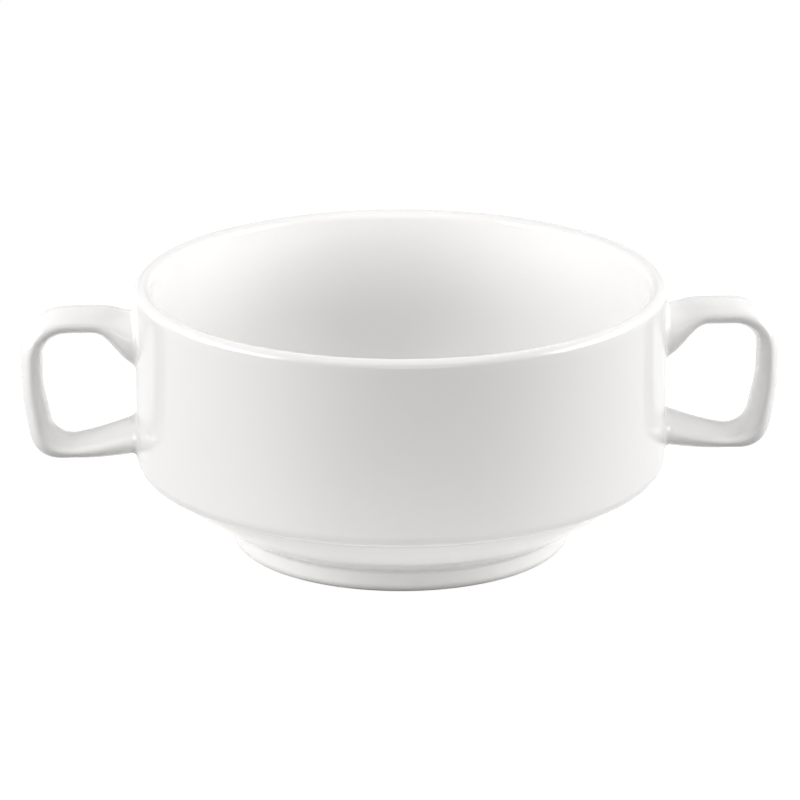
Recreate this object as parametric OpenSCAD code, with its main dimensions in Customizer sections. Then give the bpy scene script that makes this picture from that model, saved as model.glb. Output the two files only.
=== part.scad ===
// Stacking soup bowl with two lug handles, in white glazed porcelain.
// The bowl is turned on a wheel in one piece with its foot. Each handle is cast by itself, and its two
// ends are stuck to the wall with liquid clay, called slip, which squeezes out into a small fillet.
// The origin is on the table under the middle of the bowl. The handles reach along X, and Z is up.

/* [Bowl] */
// Outside diameter of the wall
bowl_d = 108; // [100:1:116]
// Height from the table to the top of the rim
bowl_h = 54.8; // [52.5:0.1:60]
// Thickness of the wall, and diameter of the rounded rim
wall_t = 3.2; // [2.6:0.1:3.8]
// Least thickness of the clay between the inside curve and the underside
base_t = 4; // [3.2:0.1:5]
// Radius of the inside curve between the wall and the floor
inside_curve_r = 26; // [22:0.5:29]

/* [Stacking shoulder] */
// Height of the shoulder's flat underside above the table
shoulder_z = 16; // [14.5:0.1:17]
// Radius of the shoulder's outer corner
shoulder_r = 3.1; // [2.5:0.1:3.8]
// Height of the upright step that drops inside the rim of a bowl below
step_h = 0.6; // [0.4:0.1:1]
// Gap all round between that step and the rim that it drops into
stack_gap = 0.8; // [0.4:0.1:1.4]

/* [Foot] */
// Outside diameter of the foot
foot_d = 69.2; // [66:0.2:73]
// Height of the foot's side up to the crease under the bowl
foot_h = 4; // [3.4:0.1:5]
// Radius of the foot's outer bottom edge
foot_outer_edge_r = 2; // [1.4:0.1:2.6]
// Radius of the foot's inner bottom edge
foot_inner_edge_r = 1.4; // [0.8:0.1:1.6]
// Width of the foot from its outer side to its inner side
foot_w = 5.6; // [4.8:0.1:7]
// Radius of the crease between the foot and the underside
foot_crease_r = 1.1; // [0.6:0.1:1.5]
// Radius of the underside's swell between the crease and the step
underside_r = 62; // [50:1:90]
// Depth of the recess inside the foot
recess_h = 2.6; // [2:0.1:3.2]
// Radius of the corner at the top of the recess
recess_corner_r = 1.6; // [1:0.1:1.9]

/* [Handles] */
// Distance from the middle of the bowl to the outermost point of a handle
handle_reach = 77.2; // [75.5:0.1:82]
// Distance from the top of the rim down to the top of the upper arm
handle_drop = 4.7; // [3.6:0.1:6.8]
// Height of the lowest point of the lower arm above the table
handle_low_z = 18.9; // [17:0.1:20]
// Thickness of the upper arm, seen from the side
upper_arm_t = 4.7; // [3.8:0.1:5.4]
// Thickness of the upright grip, seen from the side
grip_t = 4.4; // [3.6:0.1:5.2]
// Thickness of the strap where the grip runs into the lower corner
heel_t = 5; // [4:0.1:5.6]
// Thickness of the lower arm where it leaves the corner
lower_arm_t = 4; // [3.4:0.1:5]
// Width of the strap at the grip
grip_w = 11.4; // [9:0.1:13]
// Width of the strap where it meets the wall
root_w = 12.4; // [10:0.1:14]
// Height of the waist, below which the grip leans in
waist_z = 34; // [33:0.1:37]
// Distance that the grip leans in from its waist to the lower corner
grip_lean = 2.2; // [0.4:0.1:2.8]
// Radius of the bend at the waist, along the middle of the strap
waist_r = 30; // [15:1:36]
// Radius of the upper corner, along the middle of the strap
upper_corner_r = 7.2; // [4.5:0.1:8]
// Radius of the lower corner, along the middle of the strap
lower_corner_r = 7.2; // [4.5:0.1:8]
// Extra thickness on the outside of the lower corner
heel_fill = 1.2; // [0:0.1:2]

/* [Handle roots] */
// How far the tongue under the upper arm runs down the wall
tongue_drop = 6.6; // [4.5:0.1:7.5]
// How far the upper arm's top falls towards the wall
crown_fall = 1; // [0:0.1:1.6]
// Distance from the wall over which the upper arm's top falls
crown_spread = 5.6; // [4:0.1:9]
// Distance from the wall over which the upper root spreads
upper_spread = 8.6; // [6:0.1:11]
// Height of the lower root where it meets the wall
lower_root_h = 7.3; // [6:0.1:9]
// How far the middle of the lower arm climbs towards the wall
lower_climb = 2.3; // [1:0.1:3.4]
// Thickness of the layer of slip between a handle's end and the wall
slip_t = 0.4; // [0.2:0.05:0.8]
// Radius of the fillet of slip round a root
slip_fillet_r = 0.9; // [0.7:0.1:1.4]

/* [Smoothness] */
// Facets round the strap
strap_sides = 28; // [16:4:36]
// Segments of each corner of the strap
bend_steps = 10; // [6:1:14]
// Segments of the bend at the waist
waist_steps = 4; // [2:1:8]
// Segments of the fillet of slip
fillet_steps = 4; // [3:1:6]

/* [Hidden] */
$fn = 120;
// Sides of the cylinders that cut the seats on the wall's curve, and of the underside's swell
seat_sides = 360;
swell_sides = 720;

// Overrun of every cut past the surface that it opens
over = 0.5;
// Thickness of the slip's blunt edges, on the wall and on the strap
slip_edge = 0.1;
// How far the slip's last ring lies inside the strap, which is then cut out of it
dip = 0.3;
glaze_white = [0.95, 0.95, 0.94];
slip_white = [0.91, 0.91, 0.9];

// Bowl
wall_r = bowl_d / 2;
bore_r = wall_r - wall_t;
rim_r = wall_t / 2;
rim_z = bowl_h - rim_r;

// The step under the shoulder fits the inside of the rim of a bowl below
step_r = bore_r - stack_gap;
step_z = shoulder_z - step_h;

// Foot and underside. The underside's swell passes through the step's lower edge and touches the
// crease, a hollow round whose centre is beside the top of the foot's side.
foot_r = foot_d / 2;
recess_r = foot_r - foot_w;
crease_mid = [foot_r + foot_crease_r, foot_h];
swell_mid = circles_meet([step_r, step_z], underside_r, crease_mid, underside_r + foot_crease_r);
to_swell_mid = unit(swell_mid - crease_mid);
crease_end = crease_mid + to_swell_mid * foot_crease_r;
crease_in = crease_end + to_swell_mid * foot_crease_r;

// Inside: the curve is as low as the base's thickness over the swell lets it be
curve_x = bore_r - inside_curve_r;
curve_to_swell = underside_r - inside_curve_r - base_t;
curve_z = swell_mid[1] - sqrt(curve_to_swell ^ 2 - (curve_x - swell_mid[0]) ^ 2);
floor_z = curve_z - inside_curve_r;

// Strap
strap_seat_r = wall_r + slip_t;
handle_top_z = bowl_h - handle_drop;
upper_mid_z = handle_top_z - upper_arm_t / 2;
lower_mid_z = handle_low_z + lower_arm_t / 2;
grip_mid_r = handle_reach - grip_t / 2;
into_wall = wall_t / 2;
path_start_r = wall_r - into_wall;
upper_corner = [grip_mid_r, upper_mid_z];
lower_corner = [grip_mid_r - grip_lean, lower_mid_z];
waist = [grip_mid_r, waist_z];

// Shares of a root's spread at which the strap has a ring, from the wall outwards
root_ring_shares = [0, 0.12, 0.24, 0.36, 0.48, 0.6, 0.74, 0.88];

function mix(a, b, share) = a + (b - a) * share;
function clamp01(v) = min(1, max(0, v));
function ease(share) = (1 - cos(180 * clamp01(share))) / 2;
function hump(share) = (1 - cos(360 * clamp01(share))) / 2;
function unit(v) = v / norm(v);

// Where two circles about a and b meet, on the left of the way from b to a
function circles_meet(a, a_r, b, b_r) =
    let (
        gap = norm(b - a),
        along = (a_r ^ 2 - b_r ^ 2 + gap ^ 2) / (2 * gap),
        way = unit(b - a)
    )
    a + way * along + [way[1], -way[0]] * sqrt(a_r ^ 2 - along ^ 2);

// How much of a spread from the wall is left at a distance r from the bowl's axis
function spread_left(r, spread) = 1 - ease((r - wall_r) / spread);
function lower_left(r) = clamp01((lower_last_r - r) / (lower_last_r - wall_r));

// Top and bottom of the upper arm, measured from its level middle line
function upper_out(r) = upper_arm_t / 2 - crown_fall * spread_left(r, crown_spread);
function upper_in(r) = upper_arm_t / 2 + tongue_drop * spread_left(r, upper_spread);

// Middle line of the lower arm, which leaves the corner level and climbs to the wall, and its thickness
function lower_line_z(r) = lower_mid_z + lower_climb * lower_left(r) ^ 1.5;
function lower_half(r) = mix(lower_arm_t, lower_root_h, lower_left(r)) / 2;

// Thickness of the grip, which grows from the waist down to the lower corner
function grip_half(z) = mix(grip_t, heel_t, clamp01((waist_z - z) / (waist_z - heel_z))) / 2;
function strap_w(left) = mix(grip_w, root_w, left);

// Section of each arm at a distance from the bowl's axis: middle height, half height, half width
upper_section = function (r)
    [upper_mid_z + (upper_out(r) - upper_in(r)) / 2,
     (upper_out(r) + upper_in(r)) / 2,
     strap_w(spread_left(r, upper_spread)) / 2];
lower_section = function (r)
    [lower_line_z(r), lower_half(r), strap_w(lower_left(r)) / 2];

// An arc of the strap's middle line that rounds the corner b of the bend a, b, c. Each station is
// [point, direction outwards from the loop].
function bend(a, b, c, r, steps) =
    let (
        ba = unit(a - b),
        bc = unit(c - b),
        half = acos(ba * bc) / 2,
        centre = b + unit(ba + bc) * r / sin(half),
        sweep = 180 - 2 * half,
        start = atan2((b - centre)[1], (b - centre)[0]) + sweep / 2
    )
    [for (i = [0:steps])
        let (q = start - sweep * i / steps, n = [cos(q), sin(q)])
        [centre + n * r, n]];

upper_bend = bend([path_start_r, upper_mid_z], upper_corner, waist, upper_corner_r, bend_steps);
waist_bend = bend(upper_corner, waist, lower_corner, waist_r, waist_steps);
lower_bend = bend(waist, lower_corner, [path_start_r, lower_mid_z], lower_corner_r, bend_steps);
heel_z = lower_bend[0][0][1];
lower_last_r = lower_bend[bend_steps][0][0];

// A station of the strap is [middle point, outward direction, outer half, inner half, width]
upper_stations = [for (share = root_ring_shares)
    let (r = wall_r + upper_spread * share)
    [[r, upper_mid_z], [0, 1], upper_out(r), upper_in(r), strap_w(spread_left(r, upper_spread))]];

upper_bend_stations = [for (i = [0:bend_steps])
    let (half = mix(upper_arm_t, grip_t, i / bend_steps) / 2)
    [upper_bend[i][0], upper_bend[i][1], half, half, grip_w]];

waist_stations = [for (s = waist_bend)
    let (half = grip_half(s[0][1]))
    [s[0], s[1], half, half, grip_w]];

lower_bend_stations = [for (i = [0:bend_steps])
    let (half = mix(heel_t, lower_arm_t, i / bend_steps) / 2, fill = heel_fill * hump(i / bend_steps))
    [lower_bend[i][0], lower_bend[i][1], half + fill, half, grip_w]];

lower_stations = [for (i = [len(root_ring_shares) - 1:-1:0])
    let (
        r = mix(wall_r, lower_last_r, root_ring_shares[i]),
        half = lower_half(r)
    )
    [[r, lower_line_z(r)], [0, -1], half, half, strap_w(lower_left(r))]];

// The oval rings of each arm and its corner, which run on into the wall. The slip round a root is fitted
// to its arm's rings.
upper_arm_rings = concat(
    [strap_ring(upper_stations[0], -into_wall)],
    [for (s = upper_stations) strap_ring(s)],
    [for (s = upper_bend_stations) strap_ring(s)]
);
lower_arm_rings = concat(
    [for (s = lower_bend_stations) strap_ring(s)],
    [for (s = lower_stations) strap_ring(s)],
    [strap_ring(lower_stations[len(lower_stations) - 1], -into_wall)]
);
strap_rings = concat(upper_arm_rings, [for (s = waist_stations) strap_ring(s)], lower_arm_rings);

module bowl_body() {
    color(glaze_white)
        rotate_extrude()
            bowl_profile();
}

module bowl_profile() {
    difference() {
        union() {
            foot_outline();
            underside_outline();
            wall_outline();
        }
        inside_outline();
        recess_outline();
    }
    translate([bore_r + rim_r, rim_z])
        circle(r = rim_r);
}

// The wall and, under it, the shoulder with its rounded outer corner
module wall_outline() {
    translate([0, shoulder_z + shoulder_r])
        square([wall_r, rim_z - shoulder_z - shoulder_r]);
    translate([0, shoulder_z])
        square([wall_r - shoulder_r, shoulder_r]);
    intersection() {
        translate([wall_r - shoulder_r, shoulder_z + shoulder_r])
            circle(r = shoulder_r);
        translate([0, shoulder_z])
            square([wall_r, shoulder_r]);
    }
}

// The underside between the foot and the shoulder: the swell, the crease below it and the step above,
// which runs up into the wall
module underside_outline() {
    intersection() {
        translate(swell_mid)
            circle(r = underside_r, $fn = swell_sides);
        translate([0, crease_end[1]])
            square([step_r, shoulder_z + shoulder_r - crease_end[1]]);
    }
    difference() {
        polygon([[0, foot_h], crease_mid, crease_in, [0, crease_in[1]]]);
        translate(crease_mid)
            circle(r = foot_crease_r);
    }
}

module foot_outline() {
    translate([0, foot_outer_edge_r])
        square([foot_r, foot_h - foot_outer_edge_r]);
    square([foot_r - foot_outer_edge_r, foot_outer_edge_r]);
    intersection() {
        translate([foot_r - foot_outer_edge_r, foot_outer_edge_r])
            circle(r = foot_outer_edge_r);
        square([foot_r, foot_outer_edge_r]);
    }
}

module inside_outline() {
    translate([0, curve_z])
        square([bore_r, bowl_h - curve_z + over]);
    translate([0, floor_z])
        square([curve_x, inside_curve_r]);
    intersection() {
        translate([curve_x, curve_z])
            circle(r = inside_curve_r);
        translate([0, floor_z])
            square([bore_r, inside_curve_r]);
    }
}

// The recess inside the foot, with a rounded upper corner and a rounded lower lip
module recess_outline() {
    lip = foot_inner_edge_r;
    translate([0, -over])
        square([recess_r, recess_h - recess_corner_r + over]);
    translate([0, -over])
        square([recess_r - recess_corner_r, recess_h + over]);
    intersection() {
        translate([recess_r - recess_corner_r, recess_h - recess_corner_r])
            circle(r = recess_corner_r);
        translate([0, -over])
            square([recess_r, recess_h + over]);
    }
    difference() {
        translate([recess_r - over, -over])
            square([lip + over, lip + over]);
        translate([recess_r + lip, lip])
            circle(r = lip);
    }
}

// A closed skin over rings that all have the same number of points
module skin(rings) {
    sides = len(rings[0]);
    last = len(rings) - 1;
    sheets = [for (i = [0:last - 1]) for (k = [0:sides - 1])
        let (
            a = i * sides + k,
            b = i * sides + (k + 1) % sides,
            c = a + sides,
            d = b + sides
        )
        each [[a, b, c], [b, d, c]]];
    first_cap = [for (k = [sides - 1:-1:0]) k];
    last_cap = [for (k = [0:sides - 1]) last * sides + k];
    polyhedron([for (ring = rings) each ring], concat(sheets, [first_cap, last_cap]));
}

// One oval ring of the strap, moved along the bowl's radius by shift
function strap_ring(s, shift = 0) =
    let (
        mid = s[0] + s[1] * (s[2] - s[3]) / 2 + [shift, 0],
        half = (s[2] + s[3]) / 2
    )
    [for (k = [0:strap_sides - 1])
        let (q = 360 * k / strap_sides, p = mid + s[1] * half * cos(q))
        [p[0], s[4] / 2 * sin(q), p[1]]];

// A stretch of the strap, with what reaches into the wall and its layer of slip cut away
module strap(rings) {
    difference() {
        skin(rings);
        cylinder(r = strap_seat_r, h = bowl_h, $fn = seat_sides);
    }
}

// A ring of the slip round a root: the arm's section made larger all round by spread. It lies on a
// cylinder of radius r about the bowl's axis, or flat at the distance x where one is given.
function slip_ring(s, spread, r, x) =
    [for (k = [0:strap_sides - 1])
        let (q = 360 * k / strap_sides, y = (s[2] + spread) * sin(q))
        [is_undef(x) ? sqrt(r * r - y * y) : x, y, s[0] + (s[1] + spread) * cos(q)]];

// Slip between the wall and one root: a thin layer behind the strap's end, and a hollow fillet round it
module slip(section, arm_rings) {
    full = slip_edge + slip_fillet_r;
    tip_r = wall_r + full;
    foot_y = section(wall_r)[2] + full;
    tip_y = section(tip_r)[2];
    difference() {
        skin(concat(
            [slip_ring(section(wall_r), full, wall_r, sqrt(wall_r * wall_r - foot_y * foot_y) - over)],
            [for (i = [0:fillet_steps])
                let (q = 90 * i / fillet_steps, r = tip_r - slip_fillet_r * cos(q))
                slip_ring(section(r), full - slip_fillet_r * sin(q), r)],
            [slip_ring(section(tip_r), -dip, tip_r, sqrt(tip_r * tip_r - tip_y * tip_y))]
        ));
        cylinder(r = wall_r, h = bowl_h, $fn = seat_sides);
        strap(arm_rings);
    }
}

module on_left() {
    rotate([0, 0, 180])
        children();
}

module left_handle() {
    color(glaze_white)
        on_left()
            strap(strap_rings);
}

module right_handle() {
    color(glaze_white)
        strap(strap_rings);
}

module left_upper_slip_joint() {
    color(slip_white)
        on_left()
            slip(upper_section, upper_arm_rings);
}

module left_lower_slip_joint() {
    color(slip_white)
        on_left()
            slip(lower_section, lower_arm_rings);
}

module right_upper_slip_joint() {
    color(slip_white)
        slip(upper_section, upper_arm_rings);
}

module right_lower_slip_joint() {
    color(slip_white)
        slip(lower_section, lower_arm_rings);
}

bowl_body();
left_handle();
right_handle();
left_upper_slip_joint();
left_lower_slip_joint();
right_upper_slip_joint();
right_lower_slip_joint();
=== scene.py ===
"""A stacking lug soup bowl in white glazed porcelain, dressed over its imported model.

The bowl is turned, so its shell is a profile drawn line by line and spun about the upright axis. Each
handle is an oval strap led along a loop, and a small fillet of slip joins each of its ends to the wall.
All lengths are in metres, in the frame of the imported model: Z is up and the handles reach along X.
"""

import logging
import math
from dataclasses import dataclass, field
from enum import Enum
from typing import Callable

import bmesh
import bpy
from mathutils import Matrix, Vector


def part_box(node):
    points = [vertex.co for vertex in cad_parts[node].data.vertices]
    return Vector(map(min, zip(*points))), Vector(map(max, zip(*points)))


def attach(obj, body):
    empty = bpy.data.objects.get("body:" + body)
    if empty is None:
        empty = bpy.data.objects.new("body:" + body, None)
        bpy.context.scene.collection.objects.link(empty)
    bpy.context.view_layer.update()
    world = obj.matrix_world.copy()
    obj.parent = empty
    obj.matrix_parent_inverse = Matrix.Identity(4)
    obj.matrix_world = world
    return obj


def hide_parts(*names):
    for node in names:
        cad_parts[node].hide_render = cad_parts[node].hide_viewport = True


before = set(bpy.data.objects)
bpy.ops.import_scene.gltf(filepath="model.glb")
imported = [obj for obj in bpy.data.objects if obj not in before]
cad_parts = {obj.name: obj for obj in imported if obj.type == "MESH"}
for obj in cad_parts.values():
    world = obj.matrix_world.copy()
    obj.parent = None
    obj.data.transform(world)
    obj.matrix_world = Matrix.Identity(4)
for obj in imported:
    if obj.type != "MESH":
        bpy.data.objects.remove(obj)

LOG = logging.getLogger("lug_soup_bowl")
MM = 0.001
SAME_PLACE = 1e-6
DEPTH = "glaze_depth"
VALUE = "NodeSocketFloat"
COLOUR = "NodeSocketColor"
VECTOR = "NodeSocketVector"
Colour = tuple[float, float, float, float]


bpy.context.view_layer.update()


def clamp(share: float) -> float:
    """Returns a share kept between 0 and 1."""
    return min(1.0, max(0.0, share))


def ease(share: float) -> float:
    """Returns a smooth step from 0 to 1 for a share from 0 to 1."""
    return (1 - math.cos(math.pi * clamp(share))) / 2


def hump(share: float) -> float:
    """Returns a smooth rise from 0 to 1 and back to 0 for a share from 0 to 1."""
    return (1 - math.cos(2 * math.pi * clamp(share))) / 2


def mix(low: float, high: float, share: float) -> float:
    """Returns the value at a share of the way from low to high."""
    return low + (high - low) * share


def stand_back(
    thing: bpy.types.Object, aim: Vector, azimuth: float, elevation: float, distance: float
) -> None:
    """Places a lamp or a camera round the bowl and turns it to a point.

    Args:
        thing: the lamp's or camera's object.
        aim: the point that it faces.
        azimuth: degrees round the bowl, from the front towards +X.
        elevation: degrees above the level of the point.
        distance: metres from the point.
    """
    turn = math.radians(azimuth)
    rise = math.radians(elevation)
    away = Vector((math.sin(turn) * math.cos(rise), -math.cos(turn) * math.cos(rise), math.sin(rise)))
    thing.location = aim + away * distance
    thing.rotation_mode = "QUATERNION"
    thing.rotation_quaternion = (-away).to_track_quat("-Z", "Y")


class Side(Enum):
    """The two sides of the bowl that carry a handle, as the sign of X."""

    LEFT = -1
    RIGHT = 1

    @property
    def word(self) -> str:
        """The side's word in the names of nodes and pieces."""
        return self.name.lower()


class Root(Enum):
    """The two roots by which a handle stands on the wall."""

    UPPER = "upper"
    LOWER = "lower"


class Recipe:
    """Adds and links the nodes of one shader tree, so that a finish reads as a recipe."""

    def __init__(self, tree: bpy.types.NodeTree) -> None:
        """Starts on a tree and empties it.

        Args:
            tree: the node tree of a material, a world or a node group.
        """
        self.tree = tree
        self.tree.nodes.clear()

    def node(self, kind: str, **settings: object) -> bpy.types.Node:
        """Adds a node.

        Args:
            kind: the node's type name.
            **settings: properties to set on it.

        Returns:
            The new node.
        """
        made = self.tree.nodes.new(kind)
        for name, value in settings.items():
            setattr(made, name, value)
        return made

    def feed(self, target: bpy.types.NodeSocket, source: object) -> None:
        """Links a socket to an input, or sets the input's own value.

        Args:
            target: the input to fill.
            source: an output socket, a number or a colour.
        """
        if isinstance(source, bpy.types.NodeSocket):
            self.tree.links.new(source, target)
        else:
            target.default_value = source

    def maths(self, operation: str, *terms: object) -> bpy.types.NodeSocket:
        """Adds a Math node.

        Args:
            operation: its operation, such as ADD.
            *terms: sockets or numbers for its inputs, in order.

        Returns:
            Its output.
        """
        made = self.node("ShaderNodeMath", operation=operation)
        for slot, term in zip(made.inputs, terms):
            self.feed(slot, term)
        return made.outputs["Value"]

    def ramp(self, value: object, low: float, high: float) -> bpy.types.NodeSocket:
        """Adds a smooth step that is 0 at low and 1 at high.

        Args:
            value: the value to map.
            low: where the step starts.
            high: where it ends.

        Returns:
            The step's output.
        """
        made = self.node("ShaderNodeMapRange", interpolation_type="SMOOTHSTEP")
        self.feed(made.inputs["Value"], value)
        made.inputs["From Min"].default_value = low
        made.inputs["From Max"].default_value = high
        return made.outputs["Result"]

    def blend(self, share: object, first: object, second: object) -> bpy.types.NodeSocket:
        """Mixes two colours.

        Args:
            share: how much of the second colour shows.
            first: the first colour or its socket.
            second: the second colour or its socket.

        Returns:
            The mixed colour.
        """
        made = self.node("ShaderNodeMix", data_type="RGBA")
        factors = [slot for slot in made.inputs if slot.name == "Factor" and slot.type == "VALUE"]
        self.feed(factors[0], share)
        for name, source in (("A", first), ("B", second)):
            slot = next(s for s in made.inputs if s.name == name and s.type == "RGBA")
            self.feed(slot, source)
        return next(s for s in made.outputs if s.type == "RGBA")

    def noise(self, place: object, per_metre: float, detail: float = 2.0) -> bpy.types.NodeSocket:
        """Adds a noise texture.

        Args:
            place: the coordinates that it reads.
            per_metre: how many features fit in a metre.
            detail: how many finer layers it has.

        Returns:
            Its value, which is a half on average.
        """
        made = self.node("ShaderNodeTexNoise")
        self.feed(made.inputs["Vector"], place)
        made.inputs["Scale"].default_value = per_metre
        made.inputs["Detail"].default_value = detail
        return made.outputs["Fac"]

    def place(self) -> bpy.types.NodeSocket:
        """Returns the Object coordinates of a Texture Coordinate node."""
        return self.node("ShaderNodeTexCoord").outputs["Object"]

    def height(self, place: object) -> bpy.types.NodeSocket:
        """Returns the Z of a place."""
        apart = self.node("ShaderNodeSeparateXYZ")
        self.feed(apart.inputs[0], place)
        return apart.outputs["Z"]

    def distance(
        self, place: object, scale: tuple[float, float, float] = (1.0, 1.0, 1.0)
    ) -> bpy.types.NodeSocket:
        """Measures how far a place is from the origin.

        Args:
            place: the coordinates that it reads.
            scale: what each axis counts for.

        Returns:
            The distance.
        """
        scaled = self.node("ShaderNodeVectorMath", operation="MULTIPLY")
        self.feed(scaled.inputs[0], place)
        scaled.inputs[1].default_value = scale
        length = self.node("ShaderNodeVectorMath", operation="LENGTH")
        self.feed(length.inputs[0], scaled.outputs[0])
        return length.outputs["Value"]

    def seen(self) -> bpy.types.NodeSocket:
        """Returns 1 for what is looked at, straight or in a clear or mirroring surface, and 0 for light."""
        path = self.node("ShaderNodeLightPath")
        either = self.maths("MAXIMUM", path.outputs["Is Camera Ray"], path.outputs["Is Glossy Ray"])
        return self.maths("MAXIMUM", either, path.outputs["Is Transmission Ray"])


def new_group(name: str, inputs: dict[str, str], outputs: dict[str, str]) -> bpy.types.NodeTree:
    """Makes an empty shader node group with named sockets.

    Args:
        name: the group's name.
        inputs: each input's name and its socket type.
        outputs: each output's name and its socket type.

    Returns:
        The new node group.
    """
    tree = bpy.data.node_groups.new(name, "ShaderNodeTree")
    for direction, sockets in (("INPUT", inputs), ("OUTPUT", outputs)):
        for socket, kind in sockets.items():
            tree.interface.new_socket(socket, in_out=direction, socket_type=kind)
    return tree


class GlazeGroups:
    """The shader node groups that every glazed piece of the bowl shares.

    Names that end in PER_METRE say how fine a pattern is. A RANGE runs from where a mask is 0 to where
    it is 1.
    """

    TINT_PER_METRE = 55.0
    TINT_SPREAD = 0.16
    THIN_RANGE = (0.42, 0.12)
    POOLED_RANGE = (0.56, 0.92)
    RING_PITCH = 1.9 * MM
    WANDER_PER_METRE = 18.0
    WANDER = 1.6 * MM
    BROAD_PER_METRE = 70.0
    BROAD_WEIGHT = 6.0
    PEEL_PER_METRE = 420.0
    GLOSS_PER_METRE = 120.0
    GLOSS_SPREAD = 0.05
    CELLS_PER_METRE = 210.0
    FLECK_RANGE = (0.05, 0.018)
    RAGGED_PER_METRE = 260.0
    RAGGED = 0.5 * MM
    WIPED_RANGE = (0.12 * MM, -0.12 * MM)
    GRAIN_PER_METRE = 3600.0

    def __init__(self) -> None:
        """Builds each group once."""
        self.depth = self._glaze_depth()
        self.flow = self._glaze_flow()
        self.flecks = self._flecks()
        self.foot = self._wiped_foot()

    def _glaze_depth(self) -> bpy.types.NodeTree:
        """Builds the group that tints the glaze where it lies thin or thick.

        Returns:
            A group whose Depth input is 0 on sharp edges, a half on open faces and 1 in hollows.
        """
        tree = new_group(
            "glaze_depth",
            {"Depth": VALUE, "Body": COLOUR, "Thin": COLOUR, "Pooled": COLOUR},
            {"Colour": COLOUR},
        )
        r = Recipe(tree)
        given = r.node("NodeGroupInput")
        noise = r.noise(r.place(), self.TINT_PER_METRE, 3.0)
        cloud = r.maths("MULTIPLY_ADD", noise, self.TINT_SPREAD, -self.TINT_SPREAD / 2)
        depth = r.maths("ADD", given.outputs["Depth"], cloud)
        thin = r.ramp(depth, *self.THIN_RANGE)
        pooled = r.ramp(depth, *self.POOLED_RANGE)
        colour = r.blend(thin, given.outputs["Body"], given.outputs["Thin"])
        colour = r.blend(pooled, colour, given.outputs["Pooled"])
        r.feed(r.node("NodeGroupOutput").inputs["Colour"], colour)
        return tree

    def _glaze_flow(self) -> bpy.types.NodeTree:
        """Builds the group that gives the glaze its faint waves and the marks of turning.

        Returns:
            A group whose Normal output is the slightly uneven surface of the melted glaze, and whose
            Roughness output wanders a little about the given value.
        """
        tree = new_group(
            "glaze_flow",
            {"Waves": VALUE, "Turning": VALUE, "Gloss": VALUE},
            {"Normal": VECTOR, "Roughness": VALUE},
        )
        r = Recipe(tree)
        given = r.node("NodeGroupInput")
        place = r.place()
        # The tool's rings follow the profile, so they step along height and radius together
        along = r.maths("ADD", r.height(place), r.distance(place, (1.0, 1.0, 0.0)))
        wander = r.maths("MULTIPLY", r.noise(place, self.WANDER_PER_METRE, 1.0), self.WANDER)
        turns = r.maths("MULTIPLY", r.maths("ADD", along, wander), 2 * math.pi / self.RING_PITCH)
        rings = r.maths("SINE", turns)
        broad = r.noise(place, self.BROAD_PER_METRE, 1.0)
        peel = r.noise(place, self.PEEL_PER_METRE)
        height = r.maths("MULTIPLY", broad, self.BROAD_WEIGHT)
        height = r.maths("MULTIPLY", r.maths("ADD", height, peel), given.outputs["Waves"])
        height = r.maths("MULTIPLY_ADD", rings, given.outputs["Turning"], height)
        bump = r.node("ShaderNodeBump")
        bump.inputs["Strength"].default_value = 1.0
        bump.inputs["Distance"].default_value = 1.0
        r.feed(bump.inputs["Height"], height)
        noise = r.noise(place, self.GLOSS_PER_METRE, 4.0)
        cloud = r.maths("MULTIPLY_ADD", noise, self.GLOSS_SPREAD, -self.GLOSS_SPREAD / 2)
        out = r.node("NodeGroupOutput")
        r.feed(out.inputs["Normal"], bump.outputs["Normal"])
        r.feed(out.inputs["Roughness"], r.maths("ADD", given.outputs["Gloss"], cloud))
        return tree

    def _flecks(self) -> bpy.types.NodeTree:
        """Builds the group that scatters a few fine flecks and pinholes under the glaze.

        Returns:
            A group whose Mask output is 1 in a fleck. Amount is the share of cells that hold one.
        """
        tree = new_group("flecks", {"Amount": VALUE}, {"Mask": VALUE})
        r = Recipe(tree)
        given = r.node("NodeGroupInput")
        cells = r.node("ShaderNodeTexVoronoi", feature="F1")
        r.feed(cells.inputs["Vector"], r.place())
        cells.inputs["Scale"].default_value = self.CELLS_PER_METRE
        dot = r.ramp(cells.outputs["Distance"], *self.FLECK_RANGE)
        chance = r.node("ShaderNodeSeparateColor")
        r.feed(chance.inputs[0], cells.outputs["Color"])
        held = r.maths("LESS_THAN", chance.outputs[0], given.outputs["Amount"])
        r.feed(r.node("NodeGroupOutput").inputs["Mask"], r.maths("MULTIPLY", dot, held))
        return tree

    def _wiped_foot(self) -> bpy.types.NodeTree:
        """Builds the group that finds the bearing ring, where the glaze was wiped off before firing.

        Returns:
            A group with a Mask of the bare clay below Height, and the clay's grainy Grain height.
        """
        tree = new_group("wiped_foot", {"Height": VALUE}, {"Mask": VALUE, "Grain": VALUE})
        r = Recipe(tree)
        given = r.node("NodeGroupInput")
        place = r.place()
        noise = r.noise(place, self.RAGGED_PER_METRE, 3.0)
        ragged = r.maths("MULTIPLY_ADD", noise, self.RAGGED, -self.RAGGED / 2)
        level = r.maths("SUBTRACT", r.maths("ADD", r.height(place), ragged), given.outputs["Height"])
        out = r.node("NodeGroupOutput")
        r.feed(out.inputs["Mask"], r.ramp(level, *self.WIPED_RANGE))
        r.feed(out.inputs["Grain"], r.noise(place, self.GRAIN_PER_METRE, 4.0))
        return tree


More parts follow.
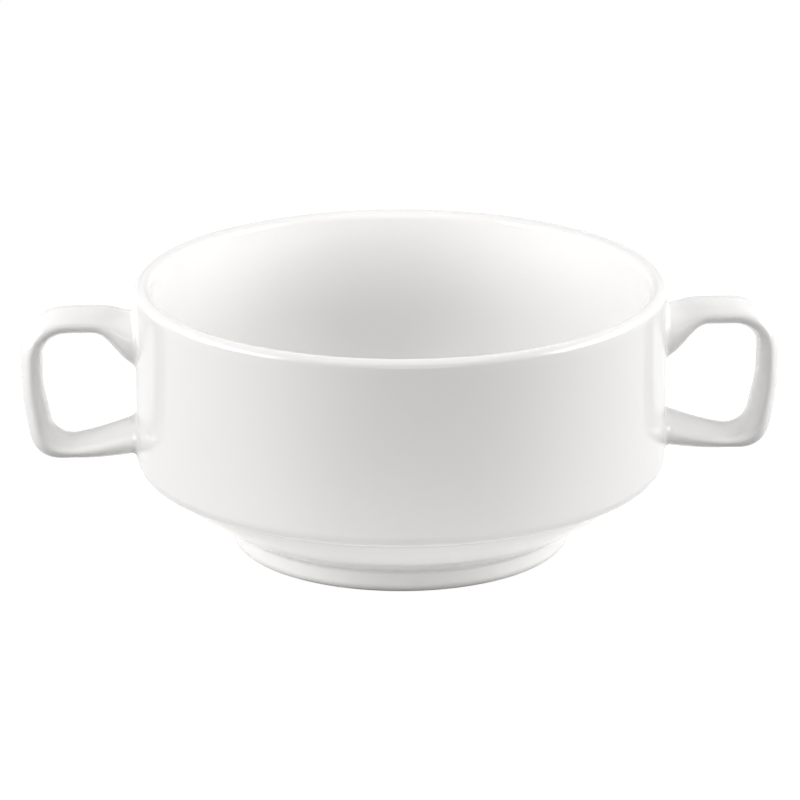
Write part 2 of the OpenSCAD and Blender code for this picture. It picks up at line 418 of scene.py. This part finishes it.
@dataclass(frozen=True)
class PorcelainGlaze:
    """Clear glossy glaze over white porcelain, with a wiped foot where the piece has one."""

    name: str
    body: Colour = (0.935, 0.926, 0.916, 1.0)
    thin: Colour = (0.905, 0.895, 0.88, 1.0)
    pooled: Colour = (0.862, 0.868, 0.86, 1.0)
    fleck: Colour = (0.42, 0.38, 0.33, 1.0)
    bare: Colour = (0.76, 0.735, 0.70, 1.0)
    ior: float = 1.52
    gloss: float = 0.085
    bare_roughness: float = 0.72
    waves: float = 2.2e-6
    turning: float = 2.0e-7
    flecks: float = 0.006
    wiped_height: float = 0.0
    grain_depth: float = 0.02 * MM

    def material(self, groups: GlazeGroups) -> bpy.types.Material:
        """Builds the material.

        Args:
            groups: the node groups that it uses.

        Returns:
            The new material, which reads the piece's glaze_depth attribute.
        """
        made = bpy.data.materials.new(self.name)
        made.use_nodes = True
        r = Recipe(made.node_tree)
        skin = r.node("ShaderNodeBsdfPrincipled")
        skin.inputs["IOR"].default_value = self.ior
        out = r.node("ShaderNodeOutputMaterial")
        r.feed(out.inputs["Surface"], skin.outputs["BSDF"])

        depth = r.node("ShaderNodeGroup", node_tree=groups.depth)
        r.feed(depth.inputs["Depth"], r.node("ShaderNodeAttribute", attribute_name=DEPTH).outputs["Fac"])
        depth.inputs["Body"].default_value = self.body
        depth.inputs["Thin"].default_value = self.thin
        depth.inputs["Pooled"].default_value = self.pooled

        flow = r.node("ShaderNodeGroup", node_tree=groups.flow)
        flow.inputs["Waves"].default_value = self.waves
        flow.inputs["Turning"].default_value = self.turning
        flow.inputs["Gloss"].default_value = self.gloss

        flecks = r.node("ShaderNodeGroup", node_tree=groups.flecks)
        flecks.inputs["Amount"].default_value = self.flecks
        colour = r.blend(flecks.outputs["Mask"], depth.outputs["Colour"], self.fleck)
        roughness = flow.outputs["Roughness"]
        normal = flow.outputs["Normal"]

        if self.wiped_height > 0:
            foot = r.node("ShaderNodeGroup", node_tree=groups.foot)
            foot.inputs["Height"].default_value = self.wiped_height
            colour = r.blend(foot.outputs["Mask"], colour, self.bare)
            rough = r.maths("SUBTRACT", self.bare_roughness, roughness)
            roughness = r.maths("MULTIPLY_ADD", rough, foot.outputs["Mask"], roughness)
            grain = r.node("ShaderNodeBump")
            grain.inputs["Strength"].default_value = 1.0
            grain.inputs["Distance"].default_value = self.grain_depth
            r.feed(grain.inputs["Height"], r.maths("MULTIPLY", foot.outputs["Grain"], foot.outputs["Mask"]))
            r.feed(grain.inputs["Normal"], normal)
            normal = grain.outputs["Normal"]

        r.feed(skin.inputs["Base Color"], colour)
        r.feed(skin.inputs["Roughness"], roughness)
        r.feed(skin.inputs["Normal"], normal)
        return made


def mark_glaze_depth(bm: bmesh.types.BMesh, reach: float, spread_passes: int) -> None:
    """Stores how deep the glaze lies at each vertex: thin on edges and pooled in hollows.

    Args:
        bm: the finished piece.
        reach: the radius of a bend that counts fully, in metres.
        spread_passes: how often the values are evened out over neighbouring vertices.
    """
    layer = bm.verts.layers.float.get(DEPTH) or bm.verts.layers.float.new(DEPTH)
    bm.normal_update()
    for vert in bm.verts:
        bend = 0.0
        for edge in vert.link_edges:
            way = edge.other_vert(vert).co - vert.co
            bend += 2 * way.dot(vert.normal) / max(way.length_squared, SAME_PLACE**2)
        bend /= max(1, len(vert.link_edges))
        vert[layer] = 0.5 + 0.5 * max(-1.0, min(1.0, bend * reach))
    for _ in range(spread_passes):
        near = {}
        for vert in bm.verts:
            around = [edge.other_vert(vert)[layer] for edge in vert.link_edges]
            near[vert] = (vert[layer] + sum(around)) / (1 + len(around))
        for vert, value in near.items():
            vert[layer] = value


def finish_piece(bm: bmesh.types.BMesh, name: str, material: bpy.types.Material) -> bpy.types.Object:
    """Turns a finished mesh into a smooth shaded object of the scene.

    Args:
        bm: the mesh, which is freed.
        name: the piece's name.
        material: its finish.

    Returns:
        The new object, at the origin.
    """
    mesh = bpy.data.meshes.new(name)
    bm.to_mesh(mesh)
    bm.free()
    mesh.materials.append(material)
    mesh.shade_smooth()
    piece = bpy.data.objects.new(name, mesh)
    bpy.context.scene.collection.objects.link(piece)
    LOG.info("%s: %d faces", name, len(mesh.polygons))
    return piece


class TurnedLine:
    """A profile drawn in the upright plane through the axis, one straight or round stretch at a time."""

    PITCH = 1.6 * MM

    def __init__(self, bm: bmesh.types.BMesh, radius: float, height: float) -> None:
        """Starts the line.

        Args:
            bm: the mesh that takes it.
            radius: distance of its start from the axis.
            height: height of its start.
        """
        self.bm = bm
        self.tip = bm.verts.new((radius, 0.0, height))

    def to(self, radius: float, height: float) -> "TurnedLine":
        """Draws a straight stretch, with a point at every pitch.

        Args:
            radius: distance of its end from the axis.
            height: height of its end.

        Returns:
            The line itself.
        """
        start = self.tip.co.copy()
        way = Vector((radius, 0.0, height)) - start
        steps = max(2, math.ceil(way.length / self.PITCH))
        for step in range(1, steps + 1):
            self.tip = bmesh.ops.extrude_vert_indiv(self.bm, verts=[self.tip])["verts"][0]
            self.tip.co = start + way * step / steps
        return self

    def arc(self, radius: float, height: float, degrees: float, steps: int) -> "TurnedLine":
        """Draws a round stretch about a centre.

        Args:
            radius: distance of the centre from the axis.
            height: height of the centre.
            degrees: the angle that it turns, from height towards radius.
            steps: how many segments it has.

        Returns:
            The line itself.
        """
        turned = bmesh.ops.spin(
            self.bm,
            geom=[self.tip],
            cent=(radius, 0.0, height),
            axis=(0.0, 1.0, 0.0),
            angle=math.radians(degrees),
            steps=steps,
            use_merge=False,
        )
        self.tip = next(g for g in turned["geom_last"] if isinstance(g, bmesh.types.BMVert))
        return self


@dataclass
class BowlShell:
    """The turned bowl: inside, rim, wall, stepped shoulder, underside and foot."""

    wall_radius: float
    height: float
    glaze: bpy.types.Material
    wall: float = 3.2 * MM
    base: float = 4.0 * MM
    inside_curve: float = 26.0 * MM
    shoulder_height: float = 16.0 * MM
    shoulder_round: float = 3.1 * MM
    step: float = 0.6 * MM
    stack_gap: float = 0.8 * MM
    foot_radius: float = 34.6 * MM
    foot_height: float = 4.0 * MM
    foot_outer_edge: float = 2.0 * MM
    foot_inner_edge: float = 1.4 * MM
    foot_width: float = 5.6 * MM
    crease: float = 1.1 * MM
    underside: float = 62.0 * MM
    recess: float = 2.6 * MM
    recess_corner: float = 1.6 * MM
    glaze_softening: float = 0.22 * MM
    segments: int = 256
    inside_steps: int = 40
    lip_steps: int = 20
    shoulder_steps: int = 16
    edge_steps: int = 12
    corner_steps: int = 10
    soften_steps: int = 5
    bend_reach: float = 1.2 * MM
    tint_passes: int = 3

    @property
    def bore(self) -> float:
        """The inside radius of the wall."""
        return self.wall_radius - self.wall

    @property
    def step_corner(self) -> Vector:
        """The lower edge of the step under the shoulder, as radius and height."""
        return Vector((self.bore - self.stack_gap, self.shoulder_height - self.step))

    @property
    def crease_centre(self) -> Vector:
        """The centre of the crease where the underside meets the foot, as radius and height."""
        return Vector((self.foot_radius + self.crease, self.foot_height))

    def swell_centre(self) -> Vector:
        """Finds the centre of the underside's swell, as radius and height.

        Returns:
            The point from which the swell passes the step's corner and touches the foot's crease.
        """
        step = self.step_corner
        way = self.crease_centre - step
        outer = self.underside + self.crease
        along = (self.underside**2 - outer**2 + way.length_squared) / (2 * way.length)
        across = math.sqrt(self.underside**2 - along**2)
        way.normalize()
        return step + way * along + Vector((way.y, -way.x)) * across

    def draw_profile(self, bm: bmesh.types.BMesh) -> None:
        """Draws the bowl's section from the middle of the floor to the middle of the recess.

        Args:
            bm: an empty mesh.
        """
        swell = self.swell_centre()
        crease = self.crease_centre
        curve_r = self.bore - self.inside_curve
        room = self.underside - self.inside_curve - self.base
        curve_z = swell.y - math.sqrt(room**2 - (curve_r - swell.x) ** 2)
        lip = self.wall / 2
        shoulder_z = self.shoulder_height + self.shoulder_round
        step = self.step_corner
        to_crease = math.degrees(math.atan2(crease.x - swell.x, swell.y - crease.y))
        to_step = math.degrees(math.atan2(step.x - swell.x, swell.y - step.y))
        recess_r = self.foot_radius - self.foot_width
        edge = self.foot_outer_edge
        inner = self.foot_inner_edge
        corner = self.recess_corner

        line = TurnedLine(bm, 0.0, curve_z - self.inside_curve)
        line.to(curve_r, curve_z - self.inside_curve)
        line.arc(curve_r, curve_z, -90, self.inside_steps)
        line.to(self.bore, self.height - lip)
        line.arc(self.bore + lip, self.height - lip, 180, self.lip_steps)
        line.to(self.wall_radius, shoulder_z)
        line.arc(self.wall_radius - self.shoulder_round, shoulder_z, 90, self.shoulder_steps)
        line.to(step.x, self.shoulder_height)
        line.to(step.x, step.y)
        line.arc(swell.x, swell.y, to_step - to_crease, self.shoulder_steps)
        line.arc(crease.x, crease.y, to_crease - 90, self.corner_steps)
        line.to(self.foot_radius, edge)
        line.arc(self.foot_radius - edge, edge, 90, self.edge_steps)
        line.to(recess_r + inner, 0.0)
        line.arc(recess_r + inner, inner, 90, self.corner_steps)
        line.to(recess_r, self.recess - corner)
        line.arc(recess_r - corner, self.recess - corner, -90, self.corner_steps)
        line.to(0.0, self.recess)

    def soften_step(self, bm: bmesh.types.BMesh) -> None:
        """Rounds the step's two sharp corners as the melted glaze does.

        Args:
            bm: the profile before it is spun.
        """
        sharp = (
            Vector((self.step_corner.x, 0.0, self.shoulder_height)),
            Vector((self.step_corner.x, 0.0, self.step_corner.y)),
        )
        found = [vert for vert in bm.verts if any((vert.co - place).length < SAME_PLACE for place in sharp)]
        bmesh.ops.bevel(
            bm,
            geom=found,
            affect="VERTICES",
            offset=self.glaze_softening,
            segments=self.soften_steps,
            profile=0.5,
            material=-1,
        )

    def build(self) -> bpy.types.Object:
        """Spins the profile into the bowl and dresses it.

        Returns:
            The bowl's shell, which stands for the turned body.
        """
        bm = bmesh.new()
        self.draw_profile(bm)
        self.soften_step(bm)
        bmesh.ops.spin(
            bm,
            geom=bm.verts[:] + bm.edges[:],
            cent=(0.0, 0.0, 0.0),
            axis=(0.0, 0.0, 1.0),
            angle=2 * math.pi,
            steps=self.segments,
            use_merge=True,
        )
        bmesh.ops.remove_doubles(bm, verts=bm.verts[:], dist=SAME_PLACE)
        bmesh.ops.recalc_face_normals(bm, faces=bm.faces[:])
        mark_glaze_depth(bm, self.bend_reach, self.tint_passes)
        piece = finish_piece(bm, "porcelain_bowl", self.glaze)
        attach(piece, "root")
        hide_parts("bowl_body")
        return piece


@dataclass
class Station:
    """One cross-section of the strap, in the plane of radius and height."""

    middle: Vector
    outward: Vector
    outer: float
    inner: float
    half_width: float

    def point(self, angle: float) -> Vector:
        """Finds a point of the oval.

        Args:
            angle: where it is, from the outward direction round to the side.

        Returns:
            The point, with X as the radius, Y across and Z as the height.
        """
        half = (self.outer + self.inner) / 2
        centre = self.middle + self.outward * (self.outer - self.inner) / 2
        flat = centre + self.outward * half * math.cos(angle)
        return Vector((flat.x, self.half_width * math.sin(angle), flat.y))


@dataclass
class LugHandle:
    """One cast handle and the slip that sticks its two roots to the wall."""

    side: Side
    wall_radius: float
    reach: float
    glaze: bpy.types.Material
    slip_glaze: bpy.types.Material
    top: float = 50.1 * MM
    low: float = 18.9 * MM
    upper_arm: float = 4.8 * MM
    grip: float = 4.4 * MM
    heel: float = 5.0 * MM
    lower_arm: float = 4.0 * MM
    grip_width: float = 11.4 * MM
    root_width: float = 12.4 * MM
    waist_height: float = 34.0 * MM
    lean: float = 2.2 * MM
    waist_round: float = 30.0 * MM
    corner_round: float = 7.2 * MM
    heel_fill: float = 1.2 * MM
    tongue_drop: float = 6.9 * MM
    crown_fall: float = 1.0 * MM
    crown_spread: float = 5.6 * MM
    upper_spread: float = 8.2 * MM
    lower_root: float = 7.3 * MM
    lower_climb: float = 2.3 * MM
    slip_fillet: float = 1.2 * MM
    slip_skin: float = 0.012 * MM
    into_wall: float = 1.4 * MM
    sides: int = 72
    relax_passes: int = 4
    pitch: float = 0.45 * MM
    bend_steps: int = 24
    waist_steps: int = 10
    climb_power: float = 1.5
    fillet_steps: int = 14
    slip_depth: float = 0.72
    bend_reach: float = 1.0 * MM
    tint_passes: int = 4
    stations: list[Station] = field(default_factory=list)

    def __post_init__(self) -> None:
        """Lays out the loop's corners and all its stations."""
        self.upper_z = self.top - self.upper_arm / 2
        self.lower_z = self.low + self.lower_arm / 2
        grip_r = self.reach - self.grip / 2
        self.upper_corner = Vector((grip_r, self.upper_z))
        self.waist = Vector((grip_r, self.waist_height))
        self.lower_corner = Vector((grip_r - self.lean, self.lower_z))
        start = Vector((self.inner_end, self.upper_z))
        end = Vector((self.inner_end, self.lower_z))
        upper = self.bend(start, self.upper_corner, self.waist, self.corner_round, self.bend_steps)
        waist = self.bend(
            self.upper_corner, self.waist, self.lower_corner, self.waist_round, self.waist_steps
        )
        lower = self.bend(self.waist, self.lower_corner, end, self.corner_round, self.bend_steps)
        self.heel_z = lower[0][0].y
        self.lower_last = lower[-1][0].x
        self.stations = self.lay_out(upper, waist, lower)
        self.relax()

    @property
    def inner_end(self) -> float:
        """How far from the bowl's axis the strap's ends are, a little way inside the wall."""
        return self.wall_radius - self.into_wall

    @staticmethod
    def bend(
        start: Vector, corner: Vector, end: Vector, radius: float, steps: int
    ) -> list[tuple[Vector, Vector]]:
        """Rounds a corner of the strap's middle line.

        Args:
            start: a point on the way to the corner.
            corner: the sharp corner.
            end: a point on the way from it.
            radius: the radius of the bend.
            steps: how many segments it has.

        Returns:
            Points of the arc, each with its direction outwards from the loop.
        """
        back = (start - corner).normalized()
        on = (end - corner).normalized()
        half = math.acos(max(-1.0, min(1.0, back.dot(on)))) / 2
        centre = corner + (back + on).normalized() * radius / math.sin(half)
        sweep = math.pi - 2 * half
        towards = corner - centre
        first = math.atan2(towards.y, towards.x) + sweep / 2
        made = []
        for step in range(steps + 1):
            angle = first - sweep * step / steps
            outward = Vector((math.cos(angle), math.sin(angle)))
            made.append((centre + outward * radius, outward))
        return made

    def upper_left(self, radius: float, spread: float) -> float:
        """Returns how much of a spread from the wall is left at a radius."""
        return 1 - ease((radius - self.wall_radius) / spread)

    def lower_left(self, radius: float) -> float:
        """Returns how far the lower arm has come from its corner, as a share up to 1 at the wall."""
        return clamp((self.lower_last - radius) / (self.lower_last - self.wall_radius))

    def upper_station(self, radius: float) -> Station:
        """Finds the upper arm's section.

        Args:
            radius: its distance from the bowl's axis.

        Returns:
            The section, with the crown falling and the tongue dropping towards the wall.
        """
        left = self.upper_left(radius, self.upper_spread)
        outer = self.upper_arm / 2 - self.crown_fall * self.upper_left(radius, self.crown_spread)
        inner = self.upper_arm / 2 + self.tongue_drop * left
        width = mix(self.grip_width, self.root_width, left) / 2
        return Station(Vector((radius, self.upper_z)), Vector((0, 1)), outer, inner, width)

    def lower_station(self, radius: float) -> Station:
        """Finds the lower arm's section.

        Args:
            radius: its distance from the bowl's axis.

        Returns:
            The section, which climbs and thickens towards the wall.
        """
        left = self.lower_left(radius)
        middle = Vector((radius, self.lower_z + self.lower_climb * left**self.climb_power))
        half = mix(self.lower_arm, self.lower_root, left) / 2
        width = mix(self.grip_width, self.root_width, left) / 2
        return Station(middle, Vector((0, -1)), half, half, width)

    def lay_out(
        self,
        upper: list[tuple[Vector, Vector]],
        waist: list[tuple[Vector, Vector]],
        lower: list[tuple[Vector, Vector]],
    ) -> list[Station]:
        """Sets the sections along the whole loop, from the upper root to the lower one.

        Args:
            upper: the upper bend's points and directions.
            waist: the waist's.
            lower: the lower bend's.

        Returns:
            The stations in order.
        """
        width = self.grip_width / 2
        run = upper[0][0].x - self.inner_end
        count = round(run / self.pitch)
        made = [self.upper_station(self.inner_end + run * i / count) for i in range(count)]
        for i, (middle, outward) in enumerate(upper):
            half = mix(self.upper_arm, self.grip, i / (len(upper) - 1)) / 2
            made.append(Station(middle, outward, half, half, width))
        made.extend(self.grip_run(upper[-1], waist[0]))
        for middle, outward in waist:
            half = self.grip_half(middle.y)
            made.append(Station(middle, outward, half, half, width))
        made.extend(self.grip_run(waist[-1], lower[0]))
        for i, (middle, outward) in enumerate(lower):
            share = i / (len(lower) - 1)
            half = mix(self.heel, self.lower_arm, share) / 2
            fill = self.heel_fill * hump(share)
            made.append(Station(middle, outward, half + fill, half, width))
        run = self.lower_last - self.inner_end
        count = round(run / self.pitch)
        made.extend(self.lower_station(self.lower_last - run * i / count) for i in range(1, count + 1))
        return made

    def grip_half(self, height: float) -> float:
        """Returns half the grip's thickness at a height: it grows from the waist down to the heel."""
        share = clamp((self.waist_height - height) / (self.waist_height - self.heel_z))
        return mix(self.grip, self.heel, share) / 2

    def grip_run(self, start: tuple[Vector, Vector], end: tuple[Vector, Vector]) -> list[Station]:
        """Sets the sections on a straight stretch of the grip, without its ends.

        Args:
            start: the point and direction before it.
            end: the point and direction after it.

        Returns:
            The stations in order.
        """
        count = max(1, round((end[0] - start[0]).length / self.pitch))
        made = []
        for i in range(1, count):
            middle = start[0].lerp(end[0], i / count)
            outward = start[1].lerp(end[1], i / count).normalized()
            half = self.grip_half(middle.y)
            made.append(Station(middle, outward, half, half, self.grip_width / 2))
        return made

    def relax(self) -> None:
        """Evens out the stations, so that the strap bends and thins without a break."""
        for _ in range(self.relax_passes):
            before = self.stations
            after = [before[0]]
            for one, two, three in zip(before, before[1:], before[2:]):
                after.append(
                    Station(
                        (one.middle + two.middle * 2 + three.middle) / 4,
                        (one.outward + two.outward * 2 + three.outward).normalized(),
                        (one.outer + 2 * two.outer + three.outer) / 4,
                        (one.inner + 2 * two.inner + three.inner) / 4,
                        (one.half_width + 2 * two.half_width + three.half_width) / 4,
                    )
                )
            after.append(before[-1])
            self.stations = after

    def loft(self, rings: list[Callable[[float], Vector]]) -> bmesh.types.BMesh:
        """Leads a ring of vertices through a row of places and closes both ends.

        Args:
            rings: for each ring, the rule that places a vertex by its angle.

        Returns:
            The closed mesh, turned to this handle's side.
        """
        bm = bmesh.new()
        angle = bm.verts.layers.float.new("angle")
        bmesh.ops.create_circle(bm, cap_ends=False, segments=self.sides, radius=1.0)
        for vert in bm.verts:
            vert[angle] = math.atan2(vert.co.y, vert.co.x)
            vert.co = rings[0](vert[angle])
        edges = bm.edges[:]
        bmesh.ops.contextual_create(bm, geom=edges)
        for ring in rings[1:]:
            grown = bmesh.ops.extrude_edge_only(bm, edges=edges)["geom"]
            edges = [item for item in grown if isinstance(item, bmesh.types.BMEdge)]
            edges = [edge for edge in edges if not edge.is_manifold and len(edge.link_faces) == 1]
            for vert in {vert for edge in edges for vert in edge.verts}:
                vert.co = ring(vert[angle])
        bmesh.ops.contextual_create(bm, geom=edges)
        if self.side is Side.LEFT:
            half_turn = Matrix.Rotation(math.pi, 3, "Z")
            bmesh.ops.rotate(bm, verts=bm.verts[:], cent=(0, 0, 0), matrix=half_turn)
        bmesh.ops.recalc_face_normals(bm, faces=bm.faces[:])
        return bm

    def build_strap(self) -> bpy.types.Object:
        """Lofts the strap and dresses it.

        Returns:
            The handle, whose ends reach a little way into the wall.
        """
        bm = self.loft([station.point for station in self.stations])
        mark_glaze_depth(bm, self.bend_reach, self.tint_passes)
        name = f"{self.side.word}_handle"
        piece = finish_piece(bm, f"{self.side.word}_lug", self.glaze)
        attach(piece, "root")
        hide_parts(name)
        return piece

    def slip_ring(self, root: Root, radius: float, spread: float) -> Callable[[float], Vector]:
        """Makes the rule for one ring of slip.

        Args:
            root: which end of the handle it goes round.
            radius: the ring's distance from the bowl's axis.
            spread: how far it stands off the strap.

        Returns:
            A rule that places a vertex by its angle.
        """
        section = self.upper_station if root is Root.UPPER else self.lower_station

        def place(angle: float) -> Vector:
            """Places a vertex on a cylinder about the bowl's axis."""
            across = (section(radius).half_width + spread) * math.sin(angle)
            flat = math.sqrt(radius**2 - across**2)
            here = section(flat)
            half = (here.outer + here.inner) / 2
            centre = here.middle.y + here.outward.y * (here.outer - here.inner) / 2
            return Vector((flat, across, centre + (half + spread) * math.cos(angle)))

        return place

    def build_slip(self, root: Root) -> bpy.types.Object:
        """Lofts the hollow fillet of slip round one root and dresses it.

        Args:
            root: which root.

        Returns:
            The fillet, which touches both the wall and the strap smoothly.
        """
        fillet = self.slip_fillet
        full = fillet + self.slip_skin
        lead = fillet / 4
        rings = [self.slip_ring(root, self.wall_radius - fillet, full)]
        rings.append(self.slip_ring(root, self.wall_radius - lead, full))
        for step in range(self.fillet_steps + 1):
            turn = math.pi / 2 * step / self.fillet_steps
            radius = self.wall_radius + full - fillet * math.cos(turn)
            rings.append(self.slip_ring(root, radius, full - fillet * math.sin(turn)))
        rings.append(self.slip_ring(root, self.wall_radius + full + lead, -lead))
        rings.append(self.slip_ring(root, self.wall_radius + full + lead, -fillet))
        bm = self.loft(rings)
        layer = bm.verts.layers.float.new(DEPTH)
        for vert in bm.verts:
            vert[layer] = self.slip_depth
        name = f"{self.side.word}_{root.value}_slip"
        piece = finish_piece(bm, name, self.slip_glaze)
        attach(piece, "root")
        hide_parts(f"{name}_joint")
        return piece

    def build(self) -> None:
        """Builds the strap and the slip at both its roots."""
        self.build_strap()
        for root in Root:
            self.build_slip(root)


@dataclass(frozen=True)
class Softbox:
    """One large soft lamp, placed round the bowl, in degrees, metres and watts."""

    name: str
    azimuth: float
    elevation: float
    distance: float
    width: float
    height: float
    watts: float

    def hang(self, aim: Vector) -> bpy.types.Object:
        """Hangs the lamp.

        Args:
            aim: the point that it faces.

        Returns:
            The lamp's object, which the camera doesn't see.
        """
        light = bpy.data.lights.new(self.name, "AREA")
        light.shape = "RECTANGLE"
        light.size = self.width
        light.size_y = self.height
        light.energy = self.watts
        lamp = bpy.data.objects.new(self.name, light)
        stand_back(lamp, aim, self.azimuth, self.elevation, self.distance)
        lamp.visible_camera = False
        bpy.context.scene.collection.objects.link(lamp)
        return lamp


@dataclass
class Studio:
    """The pale floor, the soft lamps, the white surround and the camera.

    The floor has an oval pool that sends more light up to the bowl than the rest. It starts at pool_start
    from the middle, is full from pool_full to pool_edge and ends at pool_end. The last two are measured
    towards the front, and are squeeze times less towards the handles. The lifts brighten what is seen of
    the floor, not the light that it sends.
    """

    middle: Vector
    floor_size: float = 4.0
    opening: float = 32.6 * MM
    pool_floor: Colour = (0.74, 0.731, 0.717, 1.0)
    dark_floor: Colour = (0.1, 0.1, 0.1, 1.0)
    pool_lift: float = 0.76
    dark_lift: float = 0.95
    pool_start: float = 33.0 * MM
    pool_full: float = 39.0 * MM
    pool_edge: float = 90.0 * MM
    pool_end: float = 190.0 * MM
    squeeze: float = 2.4
    camera_distance: float = 1.0
    camera_turn: float = -2.9
    camera_rise: float = 18.27
    lens: float = 220.1
    sensor: float = 36.0
    nearest: float = 0.01
    farthest: float = 20.0
    shift: tuple[float, float] = (-0.001, 0.0115)
    lamps: tuple[Softbox, ...] = (
        Softbox("left_softbox", -79.0, 20.0, 0.6, 0.5, 0.3, 2.85),
        Softbox("left_rear_softbox", -112.0, 35.0, 0.6, 0.45, 0.5, 0.28),
        Softbox("right_softbox", 85.0, 20.0, 0.6, 0.5, 0.3, 2.95),
        Softbox("right_rear_softbox", 110.0, 35.0, 0.6, 0.45, 0.5, 0.36),
        Softbox("top_softbox", 0.0, 84.0, 0.6, 0.6, 0.6, 0.66),
        Softbox("front_top_softbox", -6.0, 58.0, 0.6, 0.6, 0.5, 0.78),
        Softbox("back_softbox", 180.0, 40.0, 0.6, 0.6, 0.5, 0.36),
        Softbox("front_card", 3.0, 8.0, 0.9, 0.6, 0.13, 1.06),
        Softbox("underside_card", 0.0, -90.0, 0.6, 0.4, 0.4, 2.2),
    )

    def lay_floor(self) -> bpy.types.Object:
        """Lays a plain pale floor that shows the bowl's shadow and can be seen through from below.

        Under the foot it has an opening, which the bowl covers, so that light from below gets to the
        recess.

        Returns:
            The floor, which isn't part of the bowl.
        """
        bm = bmesh.new()
        bmesh.ops.create_grid(bm, x_segments=1, y_segments=1, size=self.floor_size / 2)
        made = bpy.data.materials.new("pale_floor")
        made.use_nodes = True
        r = Recipe(made.node_tree)
        place = r.place()
        from_middle = r.distance(place)
        clear_of_foot = r.ramp(from_middle, self.pool_start, self.pool_full)
        within = r.ramp(r.distance(place, (self.squeeze, 1.0, 1.0)), self.pool_end, self.pool_edge)
        pool = r.maths("MULTIPLY", clear_of_foot, within)
        diffuse = r.node("ShaderNodeBsdfDiffuse")
        r.feed(diffuse.inputs["Color"], r.blend(pool, self.dark_floor, self.pool_floor))
        lift = r.node("ShaderNodeEmission")
        raised = r.maths("MULTIPLY_ADD", pool, self.pool_lift - self.dark_lift, self.dark_lift)
        r.feed(lift.inputs["Strength"], r.maths("MULTIPLY", r.seen(), raised))
        both = r.node("ShaderNodeAddShader")
        r.feed(both.inputs[0], diffuse.outputs[0])
        r.feed(both.inputs[1], lift.outputs[0])
        clear = r.node("ShaderNodeBsdfTransparent")
        back = r.node("ShaderNodeNewGeometry").outputs["Backfacing"]
        under = r.maths("LESS_THAN", from_middle, self.opening)
        choose = r.node("ShaderNodeMixShader")
        r.feed(choose.inputs[0], r.maths("MAXIMUM", back, under))
        r.feed(choose.inputs[1], both.outputs[0])
        r.feed(choose.inputs[2], clear.outputs[0])
        r.feed(r.node("ShaderNodeOutputMaterial").inputs["Surface"], choose.outputs[0])
        floor = finish_piece(bm, "floor", made)
        return floor

    def paint_surround(self) -> None:
        """Makes the world white to look at, with no light of its own."""
        world = bpy.data.worlds.new("white_surround")
        world.use_nodes = True
        bpy.context.scene.world = world
        r = Recipe(world.node_tree)
        shine = r.node("ShaderNodeBackground")
        shine.inputs["Color"].default_value = (1.0, 1.0, 1.0, 1.0)
        r.feed(shine.inputs["Strength"], r.seen())
        r.feed(r.node("ShaderNodeOutputWorld").inputs["Surface"], shine.outputs[0])

    def set_camera(self) -> bpy.types.Object:
        """Sets the camera at the photograph's viewing angle.

        Returns:
            The camera's object.
        """
        data = bpy.data.cameras.new("camera")
        data.lens = self.lens
        data.sensor_width = self.sensor
        data.shift_x, data.shift_y = self.shift
        data.clip_start = self.nearest
        data.clip_end = self.farthest
        camera = bpy.data.objects.new("camera", data)
        stand_back(camera, self.middle, self.camera_turn, self.camera_rise, self.camera_distance)
        bpy.context.scene.collection.objects.link(camera)
        bpy.context.scene.camera = camera
        return camera

    def build(self) -> None:
        """Builds the whole studio."""
        self.set_camera()
        self.lay_floor()
        self.paint_surround()
        for lamp in self.lamps:
            lamp.hang(self.middle)
        bpy.context.scene.view_settings.view_transform = "Standard"


def main() -> None:
    """Builds the studio, the bowl and both handles."""
    logging.basicConfig(level=logging.INFO, format="%(name)s: %(message)s")
    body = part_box("bowl_body")
    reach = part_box("right_handle")[1].x
    wall_radius = body[1].x
    height = body[1].z
    groups = GlazeGroups()
    bowl_glaze = PorcelainGlaze("bowl_glaze", wiped_height=0.55 * MM).material(groups)
    lug_glaze = PorcelainGlaze("lug_glaze", turning=0.0).material(groups)
    slip_glaze = PorcelainGlaze("slip_glaze", turning=0.0).material(groups)

    Studio(Vector((0.0, 0.0, height / 2))).build()
    BowlShell(wall_radius, height, bowl_glaze).build()
    for side in Side:
        LugHandle(side, wall_radius, reach, lug_glaze, slip_glaze).build()


if __name__ == "__main__":
    main()
